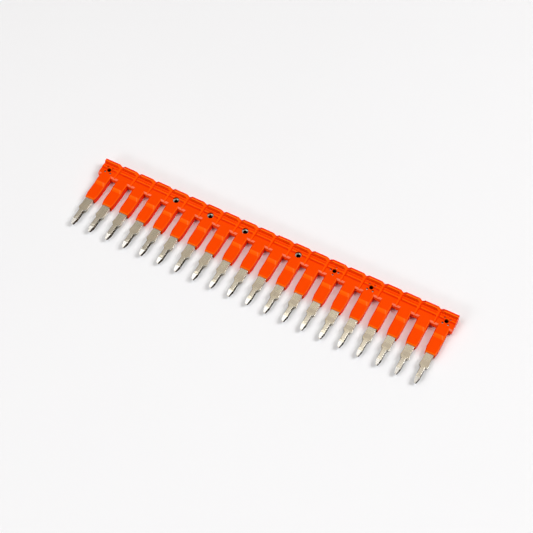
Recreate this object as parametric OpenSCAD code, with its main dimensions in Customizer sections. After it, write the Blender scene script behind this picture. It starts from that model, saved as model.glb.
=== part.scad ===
// Plug-in bridge for a row of terminal blocks, lying on its back.
// +X runs along the row, +Y from the prong tips to the grip edge, +Z out of the ribbed face.
// The origin is at the middle of the bounding box, on the face that it lies on.
// Depths are measured from the grip edge towards the tips, and levels up from the back face.

/* [Row] */
// Number of poles
poles = 20; // [2:1:24]
// Distance from pole to pole
pitch = 5.2; // [4.8:0.1:8]
// Distance from the last pole's centre to the end face of the grip
end_reach = 2.35; // [2.2:0.05:2.6]

/* [Grip] */
// Thickness of the grip without its bead
grip_thickness = 2.4; // [2.2:0.05:3.2]
// Depth from the grip edge to the roots of the slots
grip_depth = 4.75; // [4.6:0.05:6]
// Height of the bead above the ribbed face
bead_height = 0.75; // [0.5:0.05:0.9]
// Depth of the bead's foot
bead_depth = 1.05; // [0.95:0.05:1.2]
// Radius along both edges of the bead
bead_radius = 0.4; // [0.2:0.05:0.45]
// Radius of the two finger ribs
rib_radius = 0.5; // [0.4:0.05:0.7]
// Depth of the first rib's crest
first_rib_depth = 1.3; // [1.2:0.05:1.4]
// Height of the first rib above the face
first_rib_height = 0.12; // [0.05:0.01:0.2]
// Depth of the second rib's crest
second_rib_depth = 2.2; // [2:0.05:2.4]
// Height of the second rib above the face
second_rib_height = 0.26; // [0.1:0.02:0.34]
// Depth that the break grooves between the poles are cut below the faces
groove_depth = 0.3; // [0.15:0.01:0.35]
// Bevel along the slot roots on the ribbed face
root_bevel = 0.4; // [0.2:0.05:0.5]
// Bevel along the slot roots on the back
back_bevel = 0.7; // [0.4:0.05:0.8]

/* [Sleeves] */
// Width of a sleeve
sleeve_width = 3.2; // [3:0.05:3.6]
// Width of a sleeve at its end
sleeve_end_width = 2.7; // [2.5:0.05:2.9]
// Depth where the sleeves start to narrow
narrowing_depth = 11.2; // [9:0.1:11.5]
// Depth of the sleeve ends
sleeve_depth = 12.75; // [12:0.05:14]
// Step from the ribbed face down to the sleeve
sleeve_step = 0.3; // [0.1:0.05:0.35]
// Depth where that step starts
step_depth = 7; // [6:0.1:8]
// Length of the ramp that makes the step
step_length = 0.7; // [0.3:0.05:1.2]
// Bevel along the sleeve edges
sleeve_bevel = 0.24; // [0.1:0.02:0.3]
// Bevel across the sleeve ends
sleeve_end_bevel = 0.3; // [0.1:0.05:0.35]

/* [Holes] */
// Poles with a wide hole that shows a ring of the contact
wide_hole_poles = [5, 7, 9, 12]; // [1:1:24]
// Poles with a narrow hole and four windows in the quarters round it
window_hole_poles = [1, 16, 20]; // [1:1:24]
// Poles with a narrow hole and four windows in line with the row and across it
cross_hole_poles = [14]; // [1:1:24]
// Depth of the hole centres from the grip edge
hole_depth = 2.8; // [2.7:0.05:2.9]
// Diameter of the hole through the combs
hole_diameter = 1.1; // [0.8:0.05:1.2]
// Diameter of the wide hole in the ribbed face
wide_hole_diameter = 1.7; // [1.55:0.05:1.8]
// Diameter of a window
window_diameter = 0.55; // [0.3:0.05:0.6]
// Distance of the windows from the hole's centre
window_radius = 1.1; // [1:0.05:1.2]
// Height of the comb's pads in the wide holes and windows
pad_height = 0.35; // [0.1:0.05:0.5]
// Countersink round the hole in a pad
pad_bevel = 0.2; // [0.05:0.05:0.2]
// Thickness of the back that closes the holes
hole_floor = 0.35; // [0.2:0.05:0.5]

/* [Contacts] */
// Thickness of one contact leaf
leaf_thickness = 0.5; // [0.4:0.02:0.6]
// Depth of the bus bar's upper edge
bus_start = 1.3; // [1.2:0.05:1.4]
// Depth of the bus bar's lower edge
bus_end = 4.2; // [4:0.05:4.3]
// Distance from the last pole's centre to the end of the bus bar
bus_reach = 1.65; // [1.5:0.05:1.8]
// Width of a leg
leg_width = 2.16; // [1.8:0.02:2.2]
// Depth where the legs start to spread
spread_depth = 14.9; // [14.5:0.1:15.4]
// Gap that one leaf keeps to the middle plane at the shoulder
spread_gap = 0.12; // [0.1:0.02:0.3]
// Depth of the shoulders
shoulder_depth = 16.2; // [15.8:0.1:16.6]
// Width over the shoulders
shoulder_width = 2.36; // [2.3:0.02:2.8]
// Length over which the shoulders narrow to the prong
shoulder_length = 0.7; // [0.3:0.05:1]
// Width of a prong
prong_width = 1.26; // [1.1:0.02:1.7]
// Radius along a prong's outer edges
prong_round = 0.16; // [0.1:0.02:0.3]
// Depth where the prongs start to close
closing_depth = 19.1; // [18.5:0.1:19.2]
// Length of the bend there
bend_length = 0.8; // [0.4:0.05:1.2]
// How far the bend brings each leaf in
bend_drop = 0.05; // [0.02:0.01:0.08]
// Depth of the prong tips
tip_depth = 21.5; // [21:0.1:22.5]
// Radius of the tip seen from the front
tip_radius = 0.4; // [0.3:0.02:0.5]
// Thickness that one leaf is coined to at the tip
tip_thickness = 0.28; // [0.2:0.02:0.4]
// Length at the tip over which the two leaves touch
closed_length = 0.9; // [0.4:0.05:1.2]

/* [Hidden] */
$fn = 48;
row_length = (poles - 1) * pitch;
body_length = row_length + 2 * end_reach;
bus_length = row_length + 2 * bus_reach;
mid_level = grip_thickness / 2;
top_level = grip_thickness + bead_height;
grip_y = tip_depth / 2;
sleeve_top = grip_thickness - sleeve_step;
ramp_end = step_depth + step_length;
// Slope of a sleeve's narrowing side
narrowing_angle = atan2((sleeve_width - sleeve_end_width) / 2, sleeve_depth - narrowing_depth);
// Cutters pass the faces that they open by this much
over = 1;

function pole_x(pole) = (pole - (poles + 1) / 2) * pitch;
function depth_y(depth) = grip_y - depth;

// Extrudes a profile of depths and levels along the row
module along_row(length) {
    translate([-length / 2, grip_y, 0])
        rotate([90, 0, 90])
            linear_extrude(length)
                mirror([1, 0])
                    children();
}

// Extrudes a section of places along the row and levels, from one depth to another
module along_depth(from, to) {
    translate([0, depth_y(from), 0])
        rotate([90, 0, 0])
            linear_extrude(to - from)
                children();
}

// Round rib across the ribbed face, as a disc that the face cuts
module rib_disc(depth, height) {
    translate([depth, grip_thickness + height - rib_radius])
        circle(r = rib_radius);
}

// Profile of the grip bar: flat back, root bevels, two finger ribs and the round-edged bead
module grip_profile() {
    bead_level = top_level - bead_radius;
    polygon([
        [0, 0],
        [grip_depth - back_bevel, 0],
        [grip_depth, back_bevel],
        [grip_depth, grip_thickness - root_bevel],
        [grip_depth - root_bevel, grip_thickness],
        [bead_depth, grip_thickness],
        [bead_depth, bead_level],
        [bead_depth - bead_radius, top_level],
        [bead_radius, top_level],
        [0, bead_level]
    ]);
    for (depth = [bead_radius, bead_depth - bead_radius])
        translate([depth, bead_level])
            circle(r = bead_radius);
    rib_disc(first_rib_depth, first_rib_height);
    rib_disc(second_rib_depth, second_rib_height);
}

// Profile of the sleeves: flat back, a ramp down from the ribbed face and a bevelled end
module sleeve_profile() {
    polygon([
        [bus_end, 0],
        [sleeve_depth - sleeve_end_bevel, 0],
        [sleeve_depth, sleeve_end_bevel],
        [sleeve_depth, sleeve_top - sleeve_end_bevel],
        [sleeve_depth - sleeve_end_bevel, sleeve_top],
        [ramp_end, sleeve_top],
        [step_depth, grip_thickness],
        [bus_end, grip_thickness]
    ]);
}

// Section of a sleeve with bevelled back edges, over the full thickness of the grip
module sleeve_section() {
    half = sleeve_width / 2;
    polygon([
        [sleeve_bevel - half, 0],
        [half - sleeve_bevel, 0],
        [half, sleeve_bevel],
        [half, grip_thickness],
        [-half, grip_thickness],
        [-half, sleeve_bevel]
    ]);
}

// What is cut away outside the right-hand bevel of a sleeve whose face lies at the given level
module outside_bevel(level) {
    half = sleeve_width / 2;
    polygon([
        [half - sleeve_bevel - over, level + over],
        [half + over, level - sleeve_bevel - over],
        [half + over, level + over]
    ]);
}

// What is cut away outside the right-hand bevel beside the ramp
module outside_ramp_bevel() {
    inner = sleeve_width / 2 - sleeve_bevel - over;
    outer = sleeve_width / 2 + over;
    start = depth_y(step_depth);
    end = depth_y(ramp_end);
    polyhedron(
        points = [
            [inner, start, grip_thickness + over],
            [outer, start, grip_thickness - sleeve_bevel - over],
            [outer, start, grip_thickness + over],
            [inner, end, sleeve_top + over],
            [outer, end, sleeve_top - sleeve_bevel - over],
            [outer, end, sleeve_top + over]
        ],
        faces = [
            [0, 1, 2],
            [3, 5, 4],
            [0, 3, 4, 1],
            [1, 4, 5, 2],
            [2, 5, 3, 0]
        ]
    );
}

// What is cut away outside one narrowing side: a wall with bevelled edges
module narrowing_section() {
    cut = sleeve_bevel + sleeve_step;
    polygon([
        [-sleeve_bevel - over, -over],
        [-sleeve_bevel, 0],
        [0, sleeve_bevel],
        [0, grip_thickness - cut],
        [-cut, grip_thickness],
        [-cut - over, grip_thickness + over],
        [sleeve_width, grip_thickness + over],
        [sleeve_width, -over]
    ]);
}

// Cutter along the right-hand narrowing side of a sleeve
module narrowing_cutter() {
    translate([sleeve_width / 2, depth_y(narrowing_depth), 0])
        rotate([90, 0, -narrowing_angle])
            translate([0, 0, -over])
                linear_extrude(sleeve_depth - narrowing_depth + 3 * over)
                    narrowing_section();
}

// Everything cut away along the right-hand side of a sleeve
module side_cutter() {
    along_depth(bus_end - over, ramp_end)
        outside_bevel(grip_thickness);
    outside_ramp_bevel();
    along_depth(ramp_end, sleeve_depth + over)
        outside_bevel(sleeve_top);
    narrowing_cutter();
}

// One sleeve, centred on its pole
module sleeve() {
    difference() {
        intersection() {
            along_row(sleeve_width)
                sleeve_profile();
            along_depth(bus_end, sleeve_depth)
                sleeve_section();
        }
        side_cutter();
        mirror([1, 0, 0])
            side_cutter();
    }
}

// Break groove between two poles, on the ribbed face and on the back
module break_groove() {
    front = bead_height + groove_depth + over;
    back = groove_depth + over;
    along_depth(-over, grip_depth + over) {
        translate([0, grip_thickness - groove_depth])
            polygon([[0, 0], [front, front], [-front, front]]);
        translate([0, groove_depth])
            polygon([[0, 0], [-back, -back], [back, -back]]);
    }
}

// Places its children at the hole centre of each pole in the list that the row has
module at_holes(hole_poles) {
    for (pole = hole_poles) {
        if (pole <= poles) {
            translate([pole_x(pole), depth_y(hole_depth), 0])
                children();
        }
    }
}

// Holes from the ribbed face down through the combs
module narrow_holes() {
    at_holes(concat(wide_hole_poles, window_hole_poles, cross_hole_poles))
        translate([0, 0, hole_floor])
            cylinder(d = hole_diameter, h = top_level + over);
}

// Four rods round a hole, turned from the row by an angle
module window_rods(turn, height) {
    for (side = [0 : 90 : 270])
        rotate(turn + side)
            translate([window_radius, 0, 0])
                cylinder(d = window_diameter, h = height);
}

// What stands on the front comb at the holes, up to a height: the room in the face or the pads in it
module face_rods(height) {
    translate([0, 0, mid_level + leaf_thickness]) {
        at_holes(wide_hole_poles)
            cylinder(d = wide_hole_diameter, h = height);
        at_holes(window_hole_poles)
            window_rods(45, height);
        at_holes(cross_hole_poles)
            window_rods(0, height);
    }
}

// Countersinks in the pads of the wide holes
module pad_countersinks() {
    top = mid_level + leaf_thickness + pad_height;
    at_holes(wide_hole_poles)
        translate([0, 0, top - pad_bevel])
            cylinder(d1 = hole_diameter, d2 = hole_diameter + 2 * pad_bevel, h = pad_bevel);
}

// Room in the body for both combs, which it is moulded round
module comb_room() {
    translate([0, 0, mid_level - leaf_thickness])
        linear_extrude(2 * leaf_thickness) {
            translate([-bus_length / 2, depth_y(bus_end)])
                square([bus_length, bus_end - bus_start]);
            for (pole = [1 : poles])
                translate([pole_x(pole) - leg_width / 2, depth_y(sleeve_depth + over)])
                    square([leg_width, sleeve_depth + over - bus_end]);
        }
}

module insulating_body() {
    color("orangered")
        difference() {
            union() {
                along_row(body_length)
                    grip_profile();
                for (pole = [1 : poles])
                    translate([pole_x(pole), 0, 0])
                        sleeve();
            }
            for (pole = [1 : poles - 1])
                translate([pole_x(pole) + pitch / 2, 0, 0])
                    break_groove();
            narrow_holes();
            face_rods(top_level);
            comb_room();
        }
}

// Side view of one leg: flat in the body, spread at the shoulder and bent to close at the tip
module leg_profile() {
    spread = leaf_thickness + spread_gap;
    bend_end = closing_depth + bend_length;
    polygon([
        [bus_start, 0],
        [spread_depth, 0],
        [shoulder_depth, spread_gap],
        [closing_depth, spread_gap],
        [bend_end, spread_gap - bend_drop],
        [tip_depth - closed_length, 0],
        [tip_depth, 0],
        [tip_depth, tip_thickness],
        [bend_end, spread - bend_drop],
        [closing_depth, spread],
        [shoulder_depth, spread],
        [spread_depth, leaf_thickness],
        [bus_start, leaf_thickness]
    ]);
}

// Point where the line from a prong's corner meets the round tip
function tip_touch() =
    let (corner = [prong_width / 2, tip_depth - tip_radius - closing_depth - bend_length])
    let (angle = atan2(corner.y, corner.x) - acos(tip_radius / norm(corner)))
    tip_radius * [cos(angle), sin(angle)];

// Front view of one leg: straight, wider at the shoulders, then the prong with its round tip
module leg_outline() {
    leg = leg_width / 2;
    shoulder = shoulder_width / 2;
    prong = prong_width / 2;
    touch = tip_touch();
    translate([0, depth_y(0)])
        mirror([0, 1]) {
            polygon([
                [-leg, bus_start],
                [leg, bus_start],
                [leg, spread_depth],
                [shoulder, shoulder_depth],
                [prong, shoulder_depth + shoulder_length],
                [prong, closing_depth + bend_length],
                [touch.x, tip_depth - tip_radius - touch.y],
                [-touch.x, tip_depth - tip_radius - touch.y],
                [-prong, closing_depth + bend_length],
                [-prong, shoulder_depth + shoulder_length],
                [-shoulder, shoulder_depth],
                [-leg, spread_depth]
            ]);
            translate([0, tip_depth - tip_radius])
                circle(r = tip_radius);
        }
}

// Cutter that rounds the right-hand outer edge of a prong
module prong_rounder() {
    spread = leaf_thickness + spread_gap;
    along_depth(shoulder_depth + shoulder_length, tip_depth)
        translate([prong_width / 2 - prong_round, spread - prong_round])
            difference() {
                square(prong_round + over);
                circle(r = prong_round);
            }
}

// One leg of a leaf above the middle plane
module leg() {
    difference() {
        intersection() {
            along_row(shoulder_width)
                leg_profile();
            linear_extrude(leaf_thickness + spread_gap)
                leg_outline();
        }
        prong_rounder();
        mirror([1, 0, 0])
            prong_rounder();
    }
}

// Stamped comb that stands on the middle plane: the bus bar and its legs
module contact_leaf() {
    translate([-bus_length / 2, depth_y(bus_end), 0])
        cube([bus_length, bus_end - bus_start, leaf_thickness]);
    for (pole = [1 : poles])
        translate([pole_x(pole), 0, 0])
            leg();
}

module front_contact_comb() {
    color("silver")
        difference() {
            union() {
                translate([0, 0, mid_level])
                    contact_leaf();
                face_rods(pad_height);
            }
            narrow_holes();
            pad_countersinks();
        }
}

module rear_contact_comb() {
    color("lightgray")
        difference() {
            translate([0, 0, mid_level])
                mirror([0, 0, 1])
                    contact_leaf();
            narrow_holes();
        }
}

insulating_body();
front_contact_comb();
rear_contact_comb();
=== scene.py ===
"""Looks of a 20-pole plug-in bridge for terminal blocks, lying on its back on a pale table.

The insulating body is a one-piece orange moulding round two tinned contact combs.
The legs of the combs end in sprung prongs.
Everything is in metres, in the frame of the solids.
+X runs along the row, +Y from the prong tips to the grip edge, and +Z up.
"""

import math

import bmesh
import bpy
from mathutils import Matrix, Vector


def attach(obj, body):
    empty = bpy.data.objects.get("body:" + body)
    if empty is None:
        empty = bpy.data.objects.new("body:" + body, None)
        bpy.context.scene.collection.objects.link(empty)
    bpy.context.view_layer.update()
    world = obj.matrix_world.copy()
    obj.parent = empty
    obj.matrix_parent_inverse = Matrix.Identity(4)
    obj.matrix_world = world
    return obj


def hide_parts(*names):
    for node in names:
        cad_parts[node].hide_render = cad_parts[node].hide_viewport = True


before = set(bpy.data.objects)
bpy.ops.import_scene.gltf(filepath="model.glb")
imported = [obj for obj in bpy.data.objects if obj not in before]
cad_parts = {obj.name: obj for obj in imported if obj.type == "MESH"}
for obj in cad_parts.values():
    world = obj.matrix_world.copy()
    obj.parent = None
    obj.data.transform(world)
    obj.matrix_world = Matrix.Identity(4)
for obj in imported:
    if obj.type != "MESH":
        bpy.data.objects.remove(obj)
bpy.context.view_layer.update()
scene = bpy.context.scene
MM = 0.001
PITCH = 5.2 * MM
GRIP_EDGE = 10.75 * MM
ORANGE = (0.9, 0.058, 0.0)
WHITE = (1.0, 1.0, 1.0)
WARM = (1.0, 0.93, 0.72)


# Shader helpers

def new_material(name):
    material = bpy.data.materials.new(name)
    material.use_nodes = True
    return material


def shader_of(material):
    return material.node_tree.nodes["Principled BSDF"]


def add_node(tree, kind, x, y, **values):
    node = tree.nodes.new(kind)
    node.location = (x, y)
    for name, value in values.items():
        setattr(node, name, value)
    return node


def set_inputs(node, **values):
    for name, value in values.items():
        node.inputs[name.replace("_", " ")].default_value = value


def add_ramp(tree, x, y, factor, stops):
    """A colour ramp through stops, each a place and a colour, in rising order."""
    ramp = add_node(tree, "ShaderNodeValToRGB", x, y)
    elements = ramp.color_ramp.elements
    for number, (place, colour) in enumerate(stops):
        stop = elements[number] if number < len(elements) else elements.new(place)
        stop.position = place
        stop.color = (*colour, 1)
    tree.links.new(factor, ramp.inputs["Fac"])
    return ramp.outputs["Color"]


def add_range(tree, x, y, value, span, result):
    """A value carried over from one span to another, and held at its ends."""
    remap = add_node(tree, "ShaderNodeMapRange", x, y)
    set_inputs(remap, From_Min=span[0], From_Max=span[1], To_Min=result[0], To_Max=result[1])
    tree.links.new(value, remap.inputs["Value"])
    return remap.outputs["Result"]


def add_math(tree, x, y, operation, *values):
    """One step of arithmetic, in which each value is a socket or a plain number."""
    node = add_node(tree, "ShaderNodeMath", x, y, operation=operation)
    for socket, value in zip(node.inputs, values):
        if isinstance(value, float):
            socket.default_value = value
        else:
            tree.links.new(value, socket)
    return node.outputs["Value"]


def add_mix(tree, x, y, factor, low, high):
    """A mix of two colours, each a socket or a plain colour."""
    mix = add_node(tree, "ShaderNodeMix", x, y, data_type="RGBA")
    low_socket = mix.inputs[6]
    high_socket = mix.inputs[7]
    result = mix.outputs[2]
    tree.links.new(factor, mix.inputs["Factor"])
    for socket, colour in ((low_socket, low), (high_socket, high)):
        if isinstance(colour, tuple):
            socket.default_value = (*colour, 1)
        else:
            tree.links.new(colour, socket)
    return result


def add_surface(tree):
    """Where a point lies on the piece and which way its face points, each split into X, Y and Z."""
    source = add_node(tree, "ShaderNodeTexCoord", -2400, 600)
    spot = add_node(tree, "ShaderNodeSeparateXYZ", -2200, 400)
    normal = add_node(tree, "ShaderNodeSeparateXYZ", -2200, 700)
    tree.links.new(source.outputs["Object"], spot.inputs["Vector"])
    tree.links.new(source.outputs["Normal"], normal.inputs["Vector"])
    return spot.outputs, normal.outputs


def fine_texture_group():
    """Two sizes of mottling on a surface: broad clouds of tone and a fine grain for the relief."""
    tree = bpy.data.node_groups.new("fine_texture", "ShaderNodeTree")
    sockets = tree.interface
    sockets.new_socket("Place", in_out="INPUT", socket_type="NodeSocketVector")
    sockets.new_socket("Cloud Scale", in_out="INPUT", socket_type="NodeSocketFloat")
    sockets.new_socket("Grain Scale", in_out="INPUT", socket_type="NodeSocketFloat")
    sockets.new_socket("Clouds", in_out="OUTPUT", socket_type="NodeSocketFloat")
    sockets.new_socket("Grain", in_out="OUTPUT", socket_type="NodeSocketFloat")
    entry = add_node(tree, "NodeGroupInput", -600, 0)
    leave = add_node(tree, "NodeGroupOutput", 300, 0)
    clouds = add_node(tree, "ShaderNodeTexNoise", -200, 150)
    set_inputs(clouds, Detail=3.0, Roughness=0.55)
    grain = add_node(tree, "ShaderNodeTexNoise", -200, -150)
    set_inputs(grain, Detail=2.0, Roughness=0.6)
    tree.links.new(entry.outputs["Place"], clouds.inputs["Vector"])
    tree.links.new(entry.outputs["Cloud Scale"], clouds.inputs["Scale"])
    tree.links.new(entry.outputs["Place"], grain.inputs["Vector"])
    tree.links.new(entry.outputs["Grain Scale"], grain.inputs["Scale"])
    tree.links.new(clouds.outputs["Fac"], leave.inputs["Clouds"])
    tree.links.new(grain.outputs["Fac"], leave.inputs["Grain"])
    return tree


FINE_TEXTURE = fine_texture_group()


def add_fine_texture(tree, stretch, cloud_scale, grain_scale):
    """The shared mottling on the piece's own coordinates, stretched along the way it was made."""
    place = add_node(tree, "ShaderNodeTexCoord", -1400, 0)
    mapping = add_node(tree, "ShaderNodeMapping", -1200, 0)
    set_inputs(mapping, Scale=stretch)
    texture = add_node(tree, "ShaderNodeGroup", -1000, 0, node_tree=FINE_TEXTURE)
    set_inputs(texture, Cloud_Scale=cloud_scale, Grain_Scale=grain_scale)
    tree.links.new(place.outputs["Object"], mapping.inputs["Vector"])
    tree.links.new(mapping.outputs["Vector"], texture.inputs["Place"])
    return texture.outputs


# Materials

def grip_painted_shading(tree, spot):
    """Orange across the grip with painted light and shade: a painted highlight as a pale line on the
    bead, painted shade on its back and in the deep crease in front of it, and painted highlight and
    shade on two ribs.
    """
    # Painted shade on the back of the bead and a painted highlight on its front edge
    bead = [(0.0, (0.86, 0.016, 0.0)), (0.13, (0.9, 0.02, 0.0)),
            (0.175, (1.0, 0.19, 0.008)), (0.21, (1.0, 0.14, 0.0))]
    # Painted shade in the crease in front of the bead
    crease = [(0.235, (0.8, 0.006, 0.0)), (0.292, (0.8, 0.008, 0.0)), (0.31, ORANGE)]
    # Painted highlight and painted shade across each rib
    first_rib = [(0.36, (0.92, 0.076, 0.0)), (0.42, (0.88, 0.042, 0.0)),
                 (0.46, (0.88, 0.042, 0.0)), (0.5, ORANGE)]
    second_rib = [(0.56, (1.0, 0.125, 0.0)), (0.6, (0.92, 0.06, 0.0)),
                  (0.64, (0.84, 0.028, 0.0)), (0.69, (0.84, 0.028, 0.0)), (0.73, ORANGE)]
    ribbed_depth = 4.0 * MM
    depth = add_range(tree, -2000, 300, spot["Y"], (GRIP_EDGE, GRIP_EDGE - ribbed_depth), (0.0, 1.0))
    return add_ramp(tree, -1700, 300, depth, bead + crease + first_rib + second_rib)


def ramp_painted_highlight(tree, spot, pole_place, tone):
    """The tone with a painted highlight that makes each sleeve's ramp paler, and a slanted painted
    highlight on its right-hand side.
    """
    ramp_middle = 3.25 * MM
    half_ramp = 0.5 * MM
    half_top = 1.36 * MM
    streak_place = 5.23 * MM
    half_streak = 0.17 * MM
    at_ramp = add_math(tree, -1700, 1700, "COMPARE", spot["Y"], ramp_middle, half_ramp)
    on_top = add_math(tree, -1700, 1500, "COMPARE", pole_place, PITCH / 2, half_top)
    on_ramp = add_math(tree, -1500, 1600, "MULTIPLY", on_top, at_ramp)
    share = add_math(tree, -1300, 1600, "MULTIPLY", on_ramp, 0.5)
    # Painted highlight that makes each ramp paler
    tone = add_mix(tree, -960, 580, share, tone, (1.0, 0.14, 0.002))
    # A slanted painted highlight on the right-hand side of each ramp
    slant = add_math(tree, -1900, 1900, "MULTIPLY_ADD", spot["Y"], 0.5, pole_place)
    at_streak = add_math(tree, -1700, 1900, "COMPARE", slant, streak_place, half_streak)
    painted_highlight_streak = add_math(tree, -1500, 1800, "MULTIPLY", at_ramp, at_streak)
    return add_mix(tree, -925, 550, painted_highlight_streak, tone, (1.0, 0.155, 0.025))


def wall_painted_shade(tree, spot, normal, pole_place):
    """Upright walls: painted shade in deep orange at the sides, painted light that makes them brighter
    at the front, and painted shade nearly black in the holes.
    """
    hole_middle = 7.95 * MM
    half_depth = 0.88 * MM
    half_width = 1.3 * MM
    rim_height = 2.38 * MM
    # Painted shade makes the side walls deep orange, painted light makes the front walls brighter
    front = add_range(tree, -1700, 1300, normal["Y"], (-0.3, -0.7), (0.0, 1.0))
    wall = add_mix(tree, -1000, 1200, front, (0.86, 0.027, 0.0), (1.0, 0.085, 0.0))
    # Painted shade, nearly black, on the plastic walls inside the holes
    mid_pole = add_math(tree, -1700, 2100, "COMPARE", pole_place, PITCH / 2, half_width)
    hole_row = add_math(tree, -1700, 2300, "COMPARE", spot["Y"], hole_middle, half_depth)
    sunk = add_math(tree, -1700, 2500, "LESS_THAN", spot["Z"], rim_height)
    hole = add_math(tree, -1500, 2200, "MULTIPLY", mid_pole, hole_row)
    hole = add_math(tree, -1300, 2300, "MULTIPLY", hole, sunk)
    return add_mix(tree, -850, 1200, hole, wall, (0.13, 0.005, 0.0))


def moulded_painted_shading(tree):
    """Orange with painted light and shade: paler with painted highlights on crests, bevels and ramps,
    palest with a pinkish painted highlight on root bevels, and deeper with painted shade in creases and
    on left-hand bevels, with painted light and shade on upright walls.
    """
    spot, normal = add_surface(tree)
    # Place across a pole, from zero at its left-hand groove to the pitch at its right-hand one
    pole_place = add_math(tree, -2000, 1500, "WRAP", spot["X"], PITCH, 0.0)
    side_lean = add_math(tree, -1900, 800, "MULTIPLY", normal["X"], normal["Z"])
    front_lean = add_math(tree, -1900, 600, "MULTIPLY", normal["Y"], normal["Z"])
    right_side_highlight = add_range(tree, -1700, 900, side_lean, (0.05, 0.5), (0.0, 0.8))
    left_side_shade = add_range(tree, -1700, 700, side_lean, (-0.05, -0.5), (0.0, 0.55))
    front_side = add_range(tree, -1700, 500, front_lean, (-0.05, -0.42), (0.0, 0.9))
    past_ribs = add_range(tree, -1700, 100, spot["Y"], (7.2 * MM, 7.0 * MM), (0.0, 1.0))
    at_root = add_range(tree, -1700, -100, spot["Y"], (5.9 * MM, 6.0 * MM), (0.0, 1.0))
    upright = add_range(tree, -1700, 1100, normal["Z"], (0.35, 0.6), (1.0, 0.0))
    front_bevel_highlight = add_math(tree, -1500, 400, "MULTIPLY", front_side, past_ribs)
    root_bevel_highlight = add_math(tree, -1500, 0, "MULTIPLY", front_bevel_highlight, at_root)
    # Painted highlight on faces leaning right, painted shade on faces leaning left, painted highlight
    # on front bevels
    tone = add_mix(tree, -1300, 800, right_side_highlight, grip_painted_shading(tree, spot), (1.0, 0.12, 0.002))
    tone = add_mix(tree, -1150, 700, left_side_shade, tone, (0.86, 0.03, 0.0))
    tone = add_mix(tree, -1000, 600, front_bevel_highlight, tone, (1.0, 0.155, 0.003))
    tone = ramp_painted_highlight(tree, spot, pole_place, tone)
    # A pinkish painted highlight on the root bevels
    tone = add_mix(tree, -850, 500, root_bevel_highlight, tone, (1.0, 0.23, 0.12))
    # Upright walls take their painted light and shade
    return add_mix(tree, -700, 700, upright, tone, wall_painted_shade(tree, spot, normal, pole_place))


def orange_plastic():
    """Moulded orange plastic with painted light and shade, faint flow clouds and a fine tool grain."""
    material = new_material("orange_plastic")
    tree = material.node_tree
    shader = shader_of(material)
    set_inputs(shader, Specular_IOR_Level=0.02)
    texture = add_fine_texture(tree, (1, 1, 1), 260, 5200)
    clouds = add_range(tree, -700, 200, texture["Clouds"], (0.3, 0.7), (0.0, 0.1))
    colour = add_mix(tree, -450, 400, clouds, moulded_painted_shading(tree), (1.0, 0.1, 0.0))
    roughness = add_range(tree, -700, -100, texture["Grain"], (0.3, 0.7), (0.2, 0.28))
    relief = add_node(tree, "ShaderNodeBump", -300, -300)
    set_inputs(relief, Strength=0.12, Distance=0.02 * MM)
    tree.links.new(texture["Grain"], relief.inputs["Height"])
    tree.links.new(colour, shader.inputs["Base Color"])
    tree.links.new(roughness, shader.inputs["Roughness"])
    tree.links.new(relief.outputs["Normal"], shader.inputs["Normal"])
    return material


def plated_colour_and_painted_light(tree, spot, normal, level, clouds):
    """Rolled strip with lighter prongs, unplated sheared edges made paler with a painted reflection,
    and a painted dark reflection on the right-hand prong edges.
    """
    rolled = add_ramp(tree, -700, 200, clouds, [(0.3, (0.75, 0.71, 0.62)), (0.7, (0.83, 0.8, 0.72))])
    # Paler metal on the prongs than on the rest of the strip
    paler_prong_metal = add_ramp(tree, -700, 450, clouds, [(0.3, (0.82, 0.81, 0.77)), (0.7, (0.92, 0.91, 0.88))])
    prong = add_range(tree, -2000, 500, spot["Y"], (-5.8 * MM, -7.2 * MM), (0.0, 1.0))
    face = add_mix(tree, -400, 300, prong, rolled, paler_prong_metal)
    # Side walls: unplated sheared metal, made paler with a painted reflection
    sheared = add_range(tree, -1800, 900, level, (0.3, 0.6), (1.0, 0.0))
    bare_edge_and_reflection = add_mix(tree, -200, 400, sheared, face, (1.0, 0.97, 0.87))
    # Painted dark reflection on the right-hand edges of the prongs past the shoulders
    right = add_range(tree, -1800, 700, normal["X"], (0.3, 0.5), (0.0, 1.0))
    past_shoulder = add_range(tree, -2000, 300, spot["Y"], (-5.2 * MM, -6.4 * MM), (0.0, 1.0))
    painted_dark_reflection = add_math(tree, -1600, 600, "MULTIPLY", past_shoulder, right)
    return add_mix(tree, 0, 500, painted_dark_reflection, bare_edge_and_reflection, (0.05, 0.037, 0.024))


def hole_painted_shade(tree, level):
    """The comb inside the holes with painted shade: dark walls, grey countersinks and pale pad tops."""
    walls = (0.35, (0.03, 0.028, 0.016))
    countersinks = (0.6, (0.42, 0.41, 0.33))
    pad_tops = (0.97, (0.82, 0.8, 0.72))
    # Painted shade is darkest on the walls and lighter on the countersinks
    return add_ramp(tree, -1500, 100, level, [walls, countersinks, pad_tops])


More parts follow.
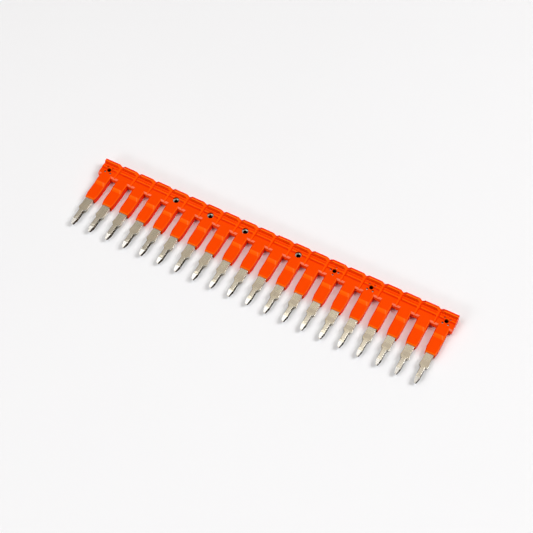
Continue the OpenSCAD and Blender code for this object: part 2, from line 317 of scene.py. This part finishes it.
def tin_plating():
    """Bright tin on rolled strip, with rolling marks along the legs and duller metal, darkened with
    painted shade, in the holes.
    """
    material = new_material("tin_plating")
    tree = material.node_tree
    shader = shader_of(material)
    shader.location = (300, 300)
    set_inputs(shader, Metallic=1.0, Specular_Tint=(0.28, 0.22, 0.16, 1))
    texture = add_fine_texture(tree, (1, 0.12, 1), 700, 6500)
    spot, normal = add_surface(tree)
    hole = add_range(tree, -1800, 100, spot["Y"], (6.9 * MM, 7.1 * MM), (0.0, 1.0))
    level = add_math(tree, -2000, 900, "ABSOLUTE", normal["Z"])
    plated = plated_colour_and_painted_light(tree, spot, normal, level, texture["Clouds"])
    # Painted shade on the comb inside the holes
    colour = add_mix(tree, 150, 500, hole, plated, hole_painted_shade(tree, level))
    gloss = add_range(tree, -700, -100, texture["Grain"], (0.3, 0.7), (0.16, 0.26))
    dullness = 0.25
    roughness = add_math(tree, -400, -100, "MULTIPLY_ADD", hole, dullness, gloss)
    relief = add_node(tree, "ShaderNodeBump", -300, -300)
    set_inputs(relief, Strength=0.15, Distance=0.01 * MM)
    tree.links.new(texture["Grain"], relief.inputs["Height"])
    tree.links.new(colour, shader.inputs["Base Color"])
    tree.links.new(roughness, shader.inputs["Roughness"])
    tree.links.new(relief.outputs["Normal"], shader.inputs["Normal"])
    return material


def pale_table():
    """Smooth near-white paper with hardly any tone of its own."""
    material = new_material("pale_table")
    tree = material.node_tree
    shader = shader_of(material)
    set_inputs(shader, Specular_IOR_Level=0.0, Roughness=0.9)
    texture = add_fine_texture(tree, (1, 1, 1), 12, 900)
    stops = [(0.3, (0.865, 0.88, 0.91)), (0.7, (0.875, 0.89, 0.92))]
    tone = add_ramp(tree, -700, 200, texture["Clouds"], stops)
    tree.links.new(tone, shader.inputs["Base Color"])
    return material


# Pieces

def upper_shoulder_edges(shape):
    """The long outer edges of the front leaf where its shoulders step in to the prongs."""
    shortest = 0.6 * MM
    upper_leaf = 2.0 * MM
    shoulder_front = -6.2 * MM
    shoulder_back = -5.4 * MM
    return [edge for edge in shape.edges
            if edge.is_convex
            and edge.calc_length() > shortest
            and all(vert.co.z > upper_leaf for vert in edge.verts)
            and all(shoulder_front < vert.co.y < shoulder_back for vert in edge.verts)]


def right_prong_edges(shape):
    """The square edges between the upper face and the right-hand wall of the prongs."""
    prong_root = -6.0 * MM
    facing = 0.8
    return [edge for edge in shape.edges
            if edge.is_convex
            and len(edge.link_faces) == 2
            and all(vert.co.y < prong_root for vert in edge.verts)
            and max(face.normal.z for face in edge.link_faces) > facing
            and max(face.normal.x for face in edge.link_faces) > facing]


def outer_edges(shape, shortest_edge):
    least_turn = math.radians(15)
    return [edge for edge in shape.edges
            if edge.is_convex
            and edge.calc_face_angle(0) > least_turn
            and edge.calc_length() > shortest_edge]


def round_edges(shape, edges, edge_round, steps):
    bmesh.ops.bevel(shape, geom=edges, offset=edge_round, offset_type="OFFSET", affect="EDGES",
                    segments=steps, profile=0.5, clamp_overlap=False, material=-1)


def rounded_copy(node_name, piece_name, material,
                 edge_round, shortest_edge, bend_angle, turn_angle):
    """A solid with its outer edges rounded as the mould or the press leaves them.

    Edges along the row that turn by the bend angle or more are shaded sharp.
    So are the other edges that turn by the turn angle or more.
    """
    merge_reach = 0.001 * MM
    shoulder_round = 0.14 * MM
    flat_angle = math.radians(0.5)
    shape = bmesh.new()
    shape.from_mesh(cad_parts[node_name].data)
    bmesh.ops.remove_doubles(shape, verts=shape.verts, dist=merge_reach)
    bmesh.ops.dissolve_limit(shape, angle_limit=flat_angle, verts=shape.verts, edges=shape.edges)
    round_edges(shape, upper_shoulder_edges(shape) + right_prong_edges(shape), shoulder_round, 3)
    round_edges(shape, outer_edges(shape, shortest_edge), edge_round, 2)
    bmesh.ops.remove_doubles(shape, verts=shape.verts, dist=merge_reach)
    for face in shape.faces:
        face.smooth = True
    for edge in shape.edges:
        run = edge.verts[0].co - edge.verts[1].co
        along_row = abs(run.x) > 0.99 * run.length
        limit = bend_angle if along_row else turn_angle
        edge.smooth = edge.calc_face_angle(0) < math.radians(limit)
    mesh = bpy.data.meshes.new(piece_name)
    shape.to_mesh(mesh)
    shape.free()
    mesh.materials.append(material)
    piece = bpy.data.objects.new(piece_name, mesh)
    scene.collection.objects.link(piece)
    shading = piece.modifiers.new("flat_faces", "WEIGHTED_NORMAL")
    shading.keep_sharp = True
    shading.weight = 100
    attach(piece, "root")
    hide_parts(node_name)


plastic = orange_plastic()
plating = tin_plating()
rounded_copy("insulating_body", "moulded_body", plastic,
             edge_round=0.05 * MM, shortest_edge=0.3 * MM, bend_angle=35, turn_angle=35)
rounded_copy("front_contact_comb", "front_comb", plating,
             edge_round=0.03 * MM, shortest_edge=0.6 * MM, bend_angle=2, turn_angle=12)
rounded_copy("rear_contact_comb", "rear_comb", plating,
             edge_round=0.03 * MM, shortest_edge=0.6 * MM, bend_angle=2, turn_angle=12)


# Table, light and camera

def table_top():
    """A wide table just under the part."""
    half_side = 1.5
    gap = 0.01 * MM
    shape = bmesh.new()
    bmesh.ops.create_grid(shape, x_segments=1, y_segments=1, size=half_side)
    bmesh.ops.translate(shape, verts=shape.verts, vec=(0, 0, -gap))
    mesh = bpy.data.meshes.new("table_top")
    shape.to_mesh(mesh)
    shape.free()
    mesh.materials.append(pale_table())
    top = bpy.data.objects.new("table_top", mesh)
    scene.collection.objects.link(top)


def aim_direction(azimuth, elevation):
    """Direction from the part: degrees round from the prong side towards +X, and up from the table."""
    turn = math.radians(azimuth)
    rise = math.radians(elevation)
    return Vector((math.sin(turn) * math.cos(rise), -math.cos(turn) * math.cos(rise), math.sin(rise)))


def softbox(name, azimuth, elevation, width, height, share, colour):
    """A softbox that faces the part and gives a level surface there this share of full white."""
    distance = 0.8
    toward = aim_direction(azimuth, elevation)
    lamp = bpy.data.lights.new(name, "AREA")
    lamp.shape = "RECTANGLE"
    lamp.size = width
    lamp.size_y = height
    lamp.energy = share * math.pi ** 2 * distance ** 2 / toward.z
    lamp.color = colour
    box = bpy.data.objects.new(name, lamp)
    box.location = toward * distance
    box.rotation_mode = "QUATERNION"
    box.rotation_quaternion = toward.to_track_quat("Z", "Y")
    scene.collection.objects.link(box)


def room_light():
    """Dim light from the room, warm and brighter towards the wall behind the grip."""
    world = bpy.data.worlds.new("room")
    world.use_nodes = True
    scene.world = world
    tree = world.node_tree
    background = tree.nodes["Background"]
    place = add_node(tree, "ShaderNodeTexCoord", -900, 0)
    facing = add_node(tree, "ShaderNodeVectorMath", -700, 0, operation="DOT_PRODUCT")
    facing.inputs[1].default_value = aim_direction(172, 45)
    tree.links.new(place.outputs["Generated"], facing.inputs[0])
    stops = [(0.3, (0.07, 0.07, 0.08)), (0.86, (0.42, 0.37, 0.3)), (0.95, (0.64, 0.56, 0.47))]
    tone = add_ramp(tree, -300, 0, facing.outputs["Value"], stops)
    tree.links.new(tone, background.inputs["Color"])
    set_inputs(background, Strength=1.0)


def camera():
    """The view from above the right-hand end, with the prongs towards the viewer."""
    lens = bpy.data.cameras.new("camera")
    lens.sensor_width = 36
    lens.lens = 86.12
    lens.clip_start = 0.01
    lens.clip_end = 10
    view = bpy.data.objects.new("camera", lens)
    aim = Vector((1.51, 2.32, 0)) * MM
    back = aim_direction(28.11, 58.13)
    distance = 329.3
    view.location = aim + back * distance * MM
    view.rotation_mode = "QUATERNION"
    view.rotation_quaternion = (-back).to_track_quat("-Z", "Y")
    scene.collection.objects.link(view)
    scene.camera = view


table_top()
room_light()
softbox("right_softbox", azimuth=118, elevation=50, width=0.36, height=0.36, share=0.45, colour=WHITE)
softbox("left_softbox", azimuth=312, elevation=60, width=0.4, height=0.4, share=0.255, colour=WHITE)
softbox("front_softbox", azimuth=338, elevation=27, width=0.46, height=0.13, share=0.115, colour=WHITE)
softbox("top_softbox", azimuth=258, elevation=75, width=0.3, height=0.3, share=0.047, colour=WHITE)
softbox("warm_softbox", azimuth=209, elevation=67.5, width=0.2, height=0.11, share=0.0105, colour=WARM)
camera()
scene.view_settings.view_transform = "Standard"
